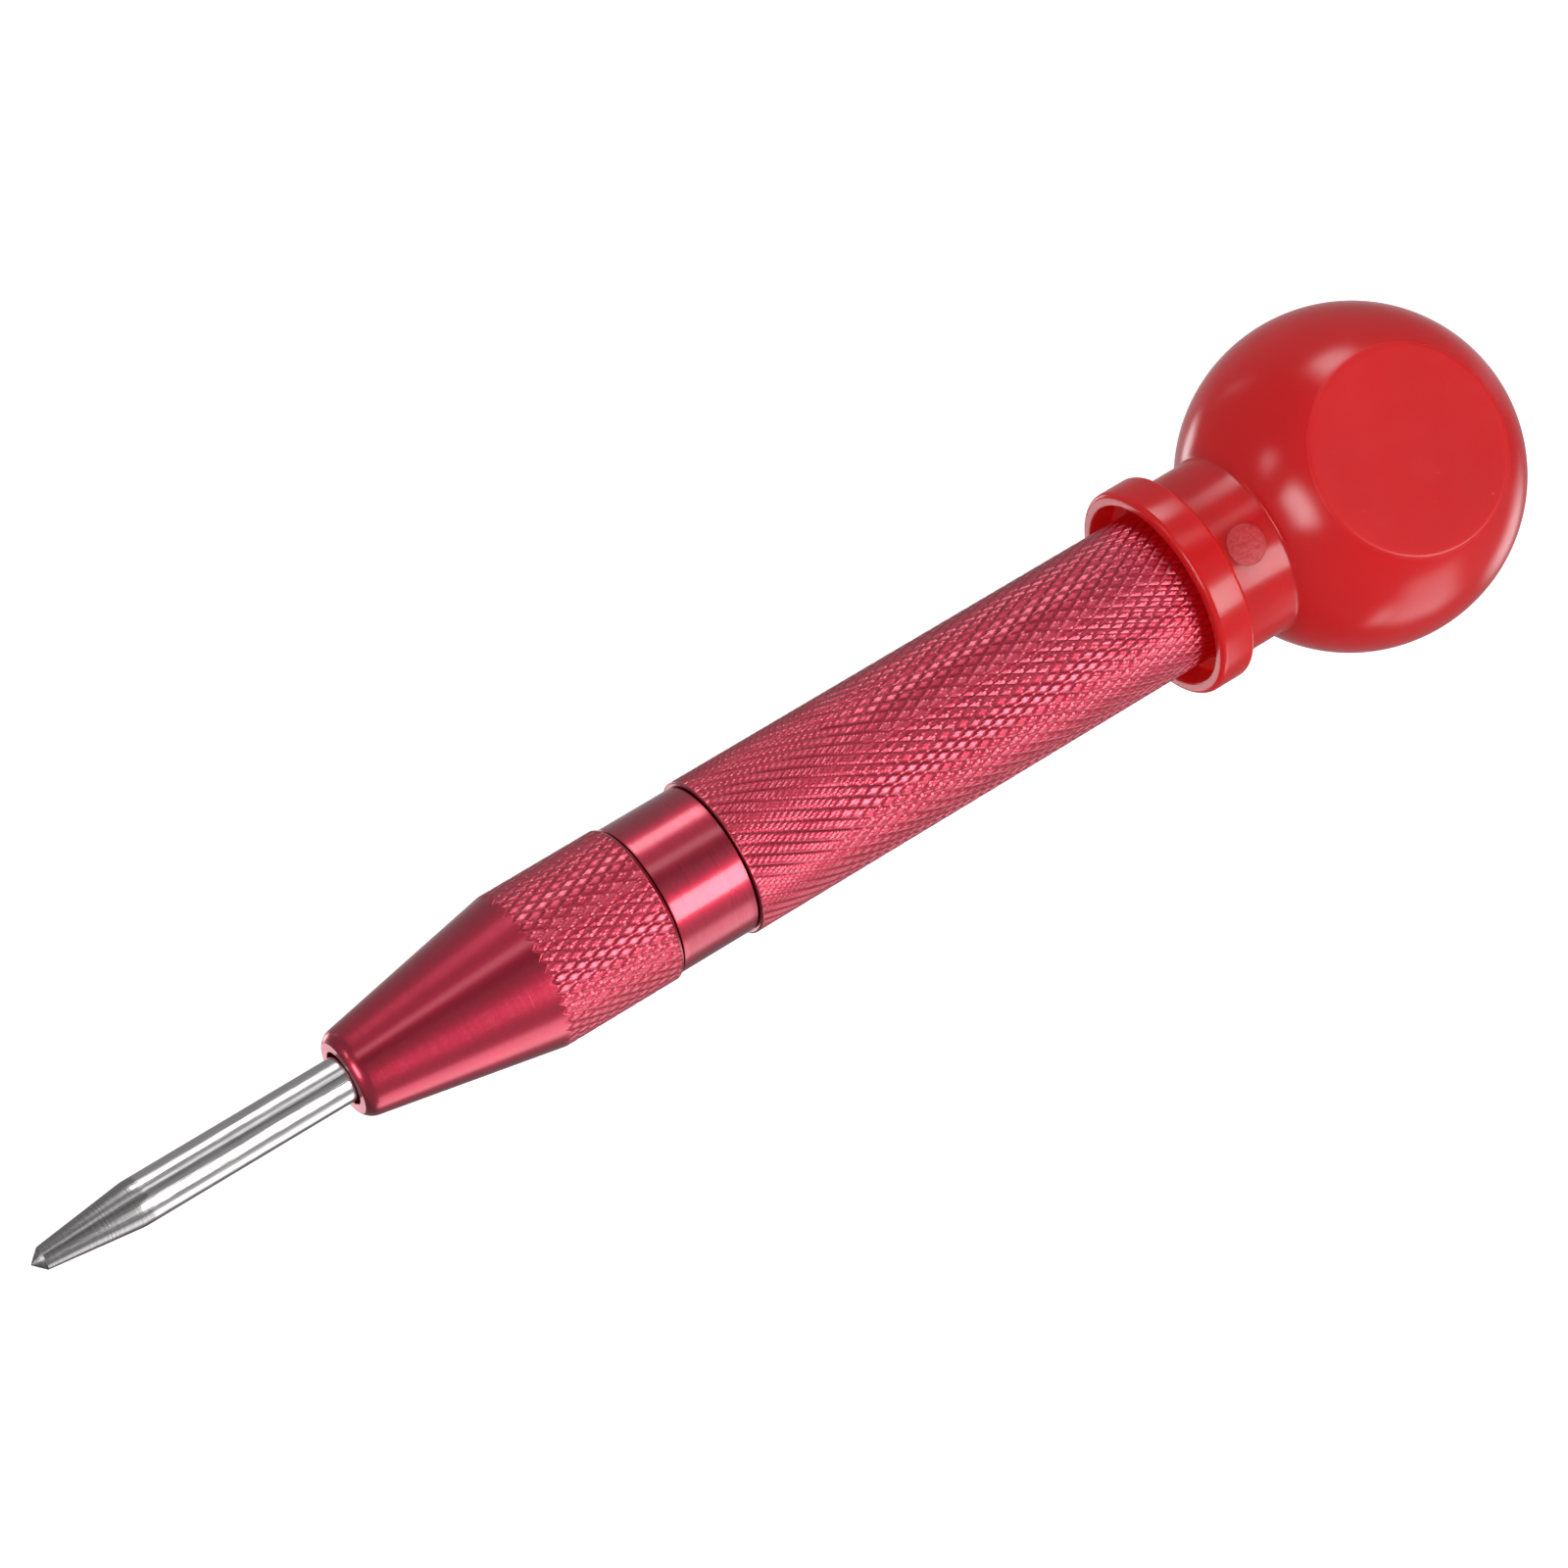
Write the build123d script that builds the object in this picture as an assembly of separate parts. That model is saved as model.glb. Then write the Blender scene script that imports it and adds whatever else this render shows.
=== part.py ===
from build123d import *
import os
from math import sqrt, sin, cos, tan, radians, degrees, atan2, pi

# ---------------------------------------------------------------------------
# Automatic centre punch with a push-on ball cap.
#
# Every piece is turned about the tool axis, so it is drawn about a local +Z
# with the point at z = 0 and the ball at the far end, then laid down:
#   local +Z -> +X (point at -X, ball at +X),  local -Y -> +Z (up).
# The tool lies on the lower flat of the ball cap. Origin: middle of the base of its box.
# Millimetres throughout.
# ---------------------------------------------------------------------------

# ---- overall ----
TOTAL_L = 146.0            # point to the end of the ball
STROKE = 9.0               # travel of the pin, rod and hammer until the trip lines up
SCREW_OUT = 8.0            # how far the sleeve screws out
THREAD_P = 1.0             # pitch of both threads

# ---- punch pin ----
PIN_R = 2.0                # ground shank
POINT_R = 1.0              # base of the 90 degree point
TAPER_END = 9.3            # where the turned taper meets the shank
COLLAR_R = 3.4
COLLAR_Z0, COLLAR_Z1 = 38.05, 40.2

# ---- nose cone ----
NOSE_Z = 28.6              # front face
NOSE_HOLE_R = 2.35         # counterbore round the pin
NOSE_BORE_R = 2.04         # guide bore
FACE_R = 3.2               # flat front face, outer radius
CONE_R0, CONE_Z0 = 3.90, 29.65
BAND_R = 6.91              # knurled band of the nose cone
CORNER_Z = 45.6
NOSE_END = 56.70
NOSE_CHAMFER = 0.30
CHAMBER_R = 3.6            # pin collar and return spring

# ---- centre body ----
BODY_R = 6.645             # plain turned band
BODY_Z0, BODY_Z1 = 56.80, 64.05
SPIGOT_F = 46.5            # front end of the front spigot
SPIGOT_B = 84.0            # rear end of the rear spigot
TH_CREST, TH_ROOT = 5.42, 4.88   # thread of both spigots
TH_CLEAR = 0.06            # radial clearance of the screwed joints
HAMMER_BORE_R = 3.90
WEB_Z0 = 53.75             # return-spring seat
WEB_R = 1.95               # hole that lines up the trip rod
STOP_Z = 62.0              # hammer stop

# ---- trip rod ----
ROD_Z0 = 40.25             # crown of the domed head
DOME_R = 4.0
HEAD_R = 2.7
GUIDE_R = 1.85             # thick length that centres in the web
STEM_R = 0.9
ROD_Z1 = 62.0
ROD_OFF = 1.2              # how far the stem's end stands off centre when armed
PIVOT_Z = ROD_Z0 + DOME_R
ROD_TILT = degrees(atan2(ROD_OFF, ROD_Z1 - PIVOT_Z))

# ---- hammer ----
HAM_Z0, HAM_Z1 = 62.06, 78.0
HAM_R = 3.84
HAM_HOLE_R, HAM_HOLE_L = 1.08, 8.0

# ---- springs and seat ----
SPRING_PIP_R = 2.4         # spigots that hold the main spring
MAIN_R, MAIN_WIRE = 3.2, 0.45
MAIN_Z0, MAIN_Z1 = 78.05, 118.95
RET_WIRE = 0.25
RET_R0, RET_R1 = 2.45, 3.2
RET_Z0, RET_Z1 = 42.05, 53.70
SEAT_Z0, SEAT_Z1 = 119.0, 120.5
SEAT_R = 3.9

# ---- rear sleeve ----
SLEEVE_R = 7.0             # over the knurl
SLEEVE_Z0, SLEEVE_Z1 = 64.15, 126.0
KNURL_END = 111.7          # the knurl stops inside the cap's mouth
TAIL_R = 6.80              # plain tail that the cap is pushed on
SLEEVE_BORE_R = 4.2
THREAD_END = 86.5

# ---- ball cap ----
BALL_R = 15.0
BALL_Z = TOTAL_L - BALL_R
FLAT_H = 12.0              # axis to each side flat
NECK_R = 8.25
FLANGE_R = 9.53
FLANGE_Z0, FLANGE_Z1 = 109.5, 112.85
MOUTH_R = 8.42             # bore of the mouth flange
SOCKET_R = 6.85            # bore that grips the sleeve's tail
MARK_Z, MARK_R, MARK_H = 115.5, 1.8, 0.05   # witness mark of the moulding

os.makedirs("parts", exist_ok=True)
LAY = Plane(origin=(-TOTAL_L / 2, 0, FLAT_H), x_dir=(0, -1, 0), z_dir=(1, 0, 0)).location


def turned(points, arcs=None):
    """Solid of revolution about Z from (r, z) points. arcs maps the index of a segment to the (r, z) point it bulges through."""
    arcs = arcs or {}
    edges = []
    n = len(points)
    for i in range(n):
        a, b = points[i], points[(i + 1) % n]
        if abs(a[0] - b[0]) < 1e-9 and abs(a[1] - b[1]) < 1e-9:
            continue
        pa, pb = (a[0], 0, a[1]), (b[0], 0, b[1])
        if i in arcs:
            m = arcs[i]
            edges.append(ThreePointArc(pa, (m[0], 0, m[1]), pb))
        else:
            edges.append(Line(pa, pb))
    face = Face(Wire(edges))
    return revolve(face, axis=Axis.Z, revolution_arc=360)


def mid_arc(cx, cz, r, a0, a1):
    """Point of the arc halfway between two angles, degrees from +r towards +z."""
    a = radians((a0 + a1) / 2)
    return (cx + r * cos(a), cz + r * sin(a))


def thread(z0, z1, r_crest, r_root, grow=0.0):
    """Zigzag (r, z) points of a V thread between z0 and z1, drawn as rings; grow moves it outwards."""
    pts = []
    n = int(round((z1 - z0) / THREAD_P))
    p = (z1 - z0) / n
    for k in range(n):
        pts += [(r_root + grow, z0 + k * p + 0.06 * p), (r_crest + grow, z0 + (k + 0.46) * p),
                (r_crest + grow, z0 + (k + 0.60) * p), (r_root + grow, z0 + (k + 1.0) * p)]
    return pts


def save(solid, name):
    s = solid.moved(LAY) if not isinstance(solid, (list, tuple)) else Compound(children=[x.moved(LAY) for x in solid])
    s.label = name
    export_step(s, f"parts/{name}.step")
    print(name, round(s.volume, 1), "valid" if s.is_valid else "NOT VALID")


# ---- 1 punch pin: point, turned taper, ground shank, collar ----
punch_pin = turned([
    (0, 0), (POINT_R, POINT_R), (PIN_R, TAPER_END), (PIN_R, COLLAR_Z0),
    (COLLAR_R - 0.3, COLLAR_Z0), (COLLAR_R, COLLAR_Z0 + 0.3), (COLLAR_R, COLLAR_Z1 - 0.3),
    (COLLAR_R - 0.3, COLLAR_Z1), (0, COLLAR_Z1)])
save(punch_pin, "punch_pin")

# ---- 2 nose cone ----
a0 = 57.0                                   # the rounded edge starts here and runs out on the cone
edge_R = 1.6
ec = (FACE_R - edge_R * cos(radians(a0)), NOSE_Z + edge_R * sin(radians(a0)))
edge_mid = mid_arc(ec[0], ec[1], edge_R, -a0, -10.5)
edge_end = (ec[0] + edge_R * cos(radians(10.5)), ec[1] - edge_R * sin(radians(10.5)))
nose_pts = [(NOSE_HOLE_R + 0.08, NOSE_Z), (FACE_R, NOSE_Z), edge_end,
            (BAND_R, CORNER_Z), (BAND_R, NOSE_END - NOSE_CHAMFER - 0.05), (BODY_R, NOSE_END)]
female = [(r, z) for r, z in reversed(thread(SPIGOT_F + 0.2, 55.7, TH_CREST, TH_ROOT, TH_CLEAR))]
nose_pts += [(TH_CREST + TH_CLEAR + 0.1, NOSE_END), (TH_CREST + TH_CLEAR + 0.1, 56.0)] + female
nose_pts += [(TH_CREST + TH_CLEAR, SPIGOT_F + 0.1), (TH_CREST + TH_CLEAR, SPIGOT_F - 0.2), (CHAMBER_R, SPIGOT_F - 0.2),
             (CHAMBER_R, 38.0), (NOSE_BORE_R + 0.3, 38.0), (NOSE_BORE_R, 37.7), (NOSE_BORE_R, 30.1),
             (NOSE_HOLE_R, 29.8), (NOSE_HOLE_R, NOSE_Z + 0.08)]
nose_cone = turned(nose_pts, {1: edge_mid})
save(nose_cone, "nose_cone")

# ---- 3 centre body: front spigot, plain band, rear spigot; trip web and hammer bore inside ----
body_pts = [(CHAMBER_R, SPIGOT_F), (TH_ROOT - 0.1, SPIGOT_F)]
body_pts += thread(SPIGOT_F + 0.2, 55.7, TH_CREST, TH_ROOT)
body_pts += [(TH_ROOT, 56.2), (TH_ROOT, BODY_Z0), (BODY_R - 0.08, BODY_Z0), (BODY_R, BODY_Z0 + 0.08),
             (BODY_R, BODY_Z1 - 0.08), (BODY_R - 0.08, BODY_Z1), (TH_ROOT, BODY_Z1), (TH_ROOT, 65.0)]
body_pts += thread(65.0, SPIGOT_B - 0.5, TH_CREST, TH_ROOT)
body_pts += [(TH_ROOT - 0.1, SPIGOT_B), (HAMMER_BORE_R + 0.15, SPIGOT_B), (HAMMER_BORE_R, SPIGOT_B - 0.15),
             (HAMMER_BORE_R, STOP_Z), (2.6, STOP_Z), (2.4, STOP_Z - 0.2), (2.4, 56.4), (WEB_R, 56.0),
             (WEB_R, 54.9), (2.6, WEB_Z0), (CHAMBER_R, WEB_Z0)]
centre_body = turned(body_pts)
save(centre_body, "centre_body")

# ---- 4 trip rod: domed head, guide length, stem; stored tilted about the centre of its dome ----
dome_rim_z = ROD_Z0 + DOME_R - sqrt(DOME_R ** 2 - HEAD_R ** 2)
half = degrees(atan2(HEAD_R, sqrt(DOME_R ** 2 - HEAD_R ** 2))) / 2
rod_pts = [(0, ROD_Z0), (HEAD_R, dome_rim_z), (HEAD_R, 42.0), (GUIDE_R, 42.0), (GUIDE_R, 47.0),
           (STEM_R, 49.0), (STEM_R, ROD_Z1 - 0.2), (STEM_R - 0.15, ROD_Z1), (0, ROD_Z1)]
rod = turned(rod_pts, {0: (DOME_R * sin(radians(half)), PIVOT_Z - DOME_R * cos(radians(half)))})
# the tail leans towards local -Y (up when the tool lies down)
rod = rod.moved(Location((0, 0, -PIVOT_Z))).moved(Rotation(ROD_TILT, 0, 0)).moved(Location((0, 0, PIVOT_Z)))
save(rod, "trip_rod")

# ---- 5 hammer ----
hammer = turned([
    (HAM_HOLE_R + 0.15, HAM_Z0), (HAM_R - 0.4, HAM_Z0), (HAM_R, HAM_Z0 + 0.4), (HAM_R, HAM_Z1 - 0.4),
    (HAM_R - 0.4, HAM_Z1), (SPRING_PIP_R, HAM_Z1), (SPRING_PIP_R, HAM_Z1 + 1.6), (SPRING_PIP_R - 0.4, HAM_Z1 + 2.0),
    (0, HAM_Z1 + 2.0), (0, HAM_Z0 + HAM_HOLE_L + 0.4), (HAM_HOLE_R, HAM_Z0 + HAM_HOLE_L), (HAM_HOLE_R, HAM_Z0 + 0.15)])
save(hammer, "hammer")

# ---- 6 spring seat ----
spring_seat = turned([
    (0, SEAT_Z0 - 2.0), (SPRING_PIP_R - 0.4, SEAT_Z0 - 2.0), (SPRING_PIP_R, SEAT_Z0 - 1.6), (SPRING_PIP_R, SEAT_Z0),
    (SEAT_R - 0.2, SEAT_Z0), (SEAT_R, SEAT_Z0 + 0.2), (SEAT_R, SEAT_Z1 - 0.2), (SEAT_R - 0.2, SEAT_Z1),
    (1.4, SEAT_Z1), (0.9, SEAT_Z1 + 0.5), (0, SEAT_Z1 + 0.5)])
save(spring_seat, "spring_seat")

# ---- 7 rear sleeve ----
sl = [(TH_CREST + 0.28, SLEEVE_Z0), (SLEEVE_R - 0.15, SLEEVE_Z0), (SLEEVE_R, SLEEVE_Z0 + 0.15), (SLEEVE_R, KNURL_END),
      (TAIL_R, KNURL_END + 0.2), (TAIL_R, SLEEVE_Z1 - 0.7), (TAIL_R - 0.7, SLEEVE_Z1), (0, SLEEVE_Z1), (0, 121.6), (SLEEVE_BORE_R - 0.5, 121.1), (SLEEVE_BORE_R, 120.6),
      (SLEEVE_BORE_R, THREAD_END + 0.4), (TH_CREST + 0.1, THREAD_END)]
sl += [(r, z) for r, z in reversed(thread(66.5, THREAD_END - 1.0, TH_CREST + 0.10, TH_CREST + 0.55))]
sl += [(TH_CREST + 0.10, SLEEVE_Z0 + 0.18)]
rear_sleeve = turned(sl)
save(rear_sleeve, "rear_sleeve")

# ---- 8 ball cap: ball, neck, mouth flange, socket, side flats, witness mark ----
FR = 0.55                                    # rounding of the flange's front edge
BR = 0.35                                    # rounding of its back edge
NF = 0.6                                     # fillet between neck and ball
# fillet centre outside the neck, tangent to the neck and the ball
fc_r = NECK_R + NF
fc_z = BALL_Z - sqrt((BALL_R + NF) ** 2 - fc_r ** 2)
tb = (fc_r * BALL_R / (BALL_R + NF), BALL_Z - (BALL_Z - fc_z) * BALL_R / (BALL_R + NF))   # tangent point on the ball
ang_b = degrees(atan2(tb[1] - fc_z, tb[0] - fc_r))
fm = radians((180 + (ang_b if ang_b > 0 else ang_b + 360)) / 2)
fillet_mid = (fc_r + NF * cos(fm), fc_z + NF * sin(fm))
bm = radians((degrees(atan2(tb[1] - BALL_Z, tb[0])) + 90) / 2)
ball_mid = (BALL_R * cos(bm), BALL_Z + BALL_R * sin(bm))
cap_pts = [
    (MOUTH_R, FLANGE_Z0), (FLANGE_R - FR, FLANGE_Z0),                                    # 0 front annulus
    (FLANGE_R, FLANGE_Z0 + FR), (FLANGE_R, FLANGE_Z1 - BR),                              # 1 rounded edge, 2 rim
    (FLANGE_R - BR, FLANGE_Z1), (NECK_R, FLANGE_Z1),                                     # 3 rounded edge, 4 back
    (NECK_R, fc_z), tb,                                                                  # 5 neck, 6 fillet
    (0, BALL_Z + BALL_R),                                                                # 7 ball
    (0, 127.6), (SOCKET_R - 1.4, 126.3), (SOCKET_R, 125.9), (SOCKET_R, 112.3), (SOCKET_R + 0.4, 111.9), (MOUTH_R, 111.9)]
c45 = 1 - sqrt(0.5)
cap_arcs = {1: (FLANGE_R - FR * c45, FLANGE_Z0 + FR * c45), 3: (FLANGE_R - BR * c45, FLANGE_Z1 - BR * c45),
            6: fillet_mid, 7: ball_mid}
cap = turned(cap_pts, cap_arcs)
for s in (-1, 1):
    cap -= Location((0, s * (FLAT_H + 5), BALL_Z)) * Box(40, 10, 40)
mark = Location((0, -NECK_R, MARK_Z)) * Rotation(90, 0, 0) * Cylinder(MARK_R, 4)
shell = Location((0, 0, MARK_Z)) * (Cylinder(NECK_R + MARK_H, 6) - Cylinder(NECK_R - 0.3, 6))
cap += mark & shell
save(cap if len(cap.solids()) > 1 else cap.solids()[0], "ball_cap")


# ---- 9, 10 springs: round wire on a helix, ends closed by flat turns ----
def coil(r0, r1, z0, z1, wire, turns, dead=0.9):
    """Spring wire centred between z0 + wire and z1 - wire; the radius runs from r0 to r1; dead turns at each end lie almost flat."""
    zA, zB = z0 + wire, z1 - wire
    n = int(turns * 16)
    flat = 2 * wire * 1.03
    pts = []
    for i in range(n + 1):
        t = i / n * turns
        if t < dead:
            h = flat * t
        elif t > turns - dead:
            h = (zB - zA) - flat * (turns - t)
        else:
            h = flat * dead + (zB - zA - 2 * flat * dead) * (t - dead) / (turns - 2 * dead)
        r = r0 + (r1 - r0) * (i / n)
        a = 2 * pi * t
        pts.append((r * cos(a), r * sin(a), zA + h))
    path = Spline(*pts)
    circle = Plane(origin=path @ 0, z_dir=path % 0) * Circle(wire)
    return sweep(circle, path=path, is_frenet=True)


return_spring = coil(RET_R0, RET_R1, RET_Z0, RET_Z1, RET_WIRE, 6.5)
save(return_spring.solids()[0] if return_spring.solids() else return_spring, "return_spring")
main_spring = coil(MAIN_R, MAIN_R, MAIN_Z0, MAIN_Z1, MAIN_WIRE, 20.0)
save(main_spring.solids()[0] if main_spring.solids() else main_spring, "main_spring")
print("rod tilt", ROD_TILT, "pivot z", PIVOT_Z, "fillet", fc_z, tb)
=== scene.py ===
import bpy, bmesh, math
import numpy as np
from mathutils import Matrix, Vector


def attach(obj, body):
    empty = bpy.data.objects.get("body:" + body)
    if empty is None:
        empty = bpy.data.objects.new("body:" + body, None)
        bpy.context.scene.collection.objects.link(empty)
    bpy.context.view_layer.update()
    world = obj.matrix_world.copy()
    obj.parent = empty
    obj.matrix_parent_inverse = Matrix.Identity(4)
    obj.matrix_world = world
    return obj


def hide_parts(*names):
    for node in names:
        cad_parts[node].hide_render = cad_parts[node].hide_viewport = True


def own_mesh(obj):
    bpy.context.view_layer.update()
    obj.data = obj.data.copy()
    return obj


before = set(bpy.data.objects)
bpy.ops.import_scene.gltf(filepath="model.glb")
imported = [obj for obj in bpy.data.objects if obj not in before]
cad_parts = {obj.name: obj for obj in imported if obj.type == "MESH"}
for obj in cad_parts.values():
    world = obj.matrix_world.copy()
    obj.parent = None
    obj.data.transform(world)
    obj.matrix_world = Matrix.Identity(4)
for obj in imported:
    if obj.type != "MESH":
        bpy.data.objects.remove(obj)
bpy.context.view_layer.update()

# ---------------------------------------------------------------------------
# Row frame: +X from the point to the ball, +Z up, metres.
# Turned shapes are written as (radius, z) in millimetres, z measured from the point along the tool.
# ---------------------------------------------------------------------------
MM = 0.001
TOTAL, AXIS_H = 146.0, 12.0
PI2 = 2 * math.pi
sc = bpy.context.scene
sc.view_settings.view_transform = "Standard"
sc.view_settings.look = "None"
sc.view_settings.exposure = 0.0
sc.view_settings.gamma = 1.0


def place(z, r, a):
    """Row-frame points; a is the angle about the axis from +Z towards +Y."""
    z, r, a = np.broadcast_arrays(np.asarray(z, float), np.asarray(r, float), np.asarray(a, float))
    return np.stack([(z - TOTAL / 2) * MM, r * np.sin(a) * MM, (AXIS_H + r * np.cos(a)) * MM], -1)


def fillets(pts, seg=4):
    """(r, z, fillet) corners to a dense (r, z) line."""
    out = []
    n = len(pts)
    for i, p in enumerate(pts):
        r, z = p[0], p[1]
        f = p[2] if len(p) > 2 else 0.0
        if f <= 0 or i == 0 or i == n - 1:
            out.append((r, z))
            continue
        c = np.array([r, z], float)
        a = np.array(pts[i - 1][:2], float) - c
        b = np.array(pts[i + 1][:2], float) - c
        la, lb = np.linalg.norm(a), np.linalg.norm(b)
        a, b = a / la, b / lb
        ang = math.acos(max(-1, min(1, float(a @ b))))
        if ang > math.pi - 1e-3:
            out.append((r, z))
            continue
        t = min(f / math.tan(ang / 2), 0.48 * la, 0.48 * lb)
        rad = t * math.tan(ang / 2)
        m = (a + b) / np.linalg.norm(a + b)
        o = c + m * rad / math.sin(ang / 2)
        s, e = c + a * t - o, c + b * t - o
        a0, a1 = math.atan2(s[1], s[0]), math.atan2(e[1], e[0])
        d = (a1 - a0 + math.pi) % PI2 - math.pi
        for k in range(seg + 1):
            x = a0 + d * k / seg
            out.append((float(o[0] + rad * math.cos(x)), float(o[1] + rad * math.sin(x))))
    return out


class Shape:
    """Collects rings of points and the faces between them."""

    def __init__(self):
        self.v, self.f, self.w, self.n = [], [], [], 0

    def add(self, pts, wear_and_shade=0.0):
        pts = np.asarray(pts, float).reshape(-1, 3)
        i = np.arange(self.n, self.n + len(pts))
        self.v.append(pts)
        self.w.append(np.broadcast_to(np.asarray(wear_and_shade, float).reshape(-1) if np.ndim(wear_and_shade) else float(wear_and_shade), (len(pts),)).astype(float))
        self.n += len(pts)
        return i

    def ring(self, r, z, n, wear_and_shade=0.0):
        return self.add(place(z, r, np.arange(n) * PI2 / n), wear_and_shade)

    def quads(self, A, B):
        a1, b1 = np.roll(A, -1), np.roll(B, -1)
        self.f += np.stack([A, a1, b1, B], 1).tolist()

    def zipper(self, A, B, angA=None, angB=None):
        """Triangles between two closed rings of different counts, both in order of angle."""
        angA = np.arange(len(A)) * PI2 / len(A) if angA is None else np.asarray(angA)
        angB = np.arange(len(B)) * PI2 / len(B) if angB is None else np.asarray(angB)
        A, B = list(A), list(B)
        angA, angB = np.append(angA, angA[0] + PI2), np.append(angB, angB[0] + PI2)
        A.append(A[0]); B.append(B[0])
        i = j = 0
        while i < len(A) - 1 or j < len(B) - 1:
            if j == len(B) - 1 or (i < len(A) - 1 and angA[i + 1] <= angB[j + 1]):
                self.f.append([int(A[i]), int(A[i + 1]), int(B[j])]); i += 1
            else:
                self.f.append([int(A[i]), int(B[j + 1]), int(B[j])]); j += 1

    def join(self, A, B):
        self.quads(A, B) if len(A) == len(B) else self.zipper(A, B)

    def pole(self, A, z, r=0.0):
        c = int(self.add(place([z], [0.0], [0.0]))[0])
        a1 = np.roll(A, -1)
        self.f += [[int(p), int(q), c] for p, q in zip(A, a1)]

    def line(self, prof, n, prev=None):
        """Rings along a (r, z) line; a radius of 0 is a pole. Returns the last ring."""
        for r, z in prof:
            if r < 1e-6:
                if prev is not None:
                    self.pole(prev, z)
                    prev = None
                else:
                    prev = ("pole", z)
                continue
            ring = self.ring(r, z, n)
            if isinstance(prev, tuple):
                self.pole(ring, prev[1])
            elif prev is not None:
                self.join(prev, ring)
            prev = ring
        return prev

    def relief(self, P, H, prev=None):
        """Rows x columns of points with a height for each; triangles follow the valleys. Returns the first and last ring."""
        rows, n = H.shape
        # the land height kept for each point lightens worn lands and paints shade into the groove bottoms of the knurl
        # material
        idx = self.add(P.reshape(-1, 3), np.clip(1 + H.reshape(-1) / 0.14, 0, 1)).reshape(rows, n)
        a, b = idx[:-1], np.roll(idx[:-1], -1, 1)
        c, d = idx[1:], np.roll(idx[1:], -1, 1)
        ha, hb = H[:-1], np.roll(H[:-1], -1, 1)
        hc, hd = H[1:], np.roll(H[1:], -1, 1)
        first = (ha + hd) <= (hb + hc)
        t1 = np.where(first[..., None], np.stack([a, b, d], -1), np.stack([a, b, c], -1)).reshape(-1, 3)
        t2 = np.where(first[..., None], np.stack([a, d, c], -1), np.stack([b, d, c], -1)).reshape(-1, 3)
        self.f += t1.tolist() + t2.tolist()
        if prev is not None:
            self.join(prev, idx[0])
        return idx[0], idx[-1]

    def make(self, name, material, sharp=30.0):
        me = bpy.data.meshes.new(name)
        me.from_pydata(np.concatenate(self.v).tolist(), [], self.f)
        at = me.attributes.new("crest", "FLOAT", "POINT")
        at.data.foreach_set("value", np.concatenate(self.w).astype(np.float32))
        me.validate()
        bm = bmesh.new()
        bm.from_mesh(me)
        bmesh.ops.recalc_face_normals(bm, faces=bm.faces)
        bm.to_mesh(me)
        bm.free()
        me.shade_smooth()
        me.set_sharp_from_angle(angle=math.radians(sharp))
        me.materials.append(material)
        o = bpy.data.objects.new(name, me)
        sc.collection.objects.link(o)
        return o


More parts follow.
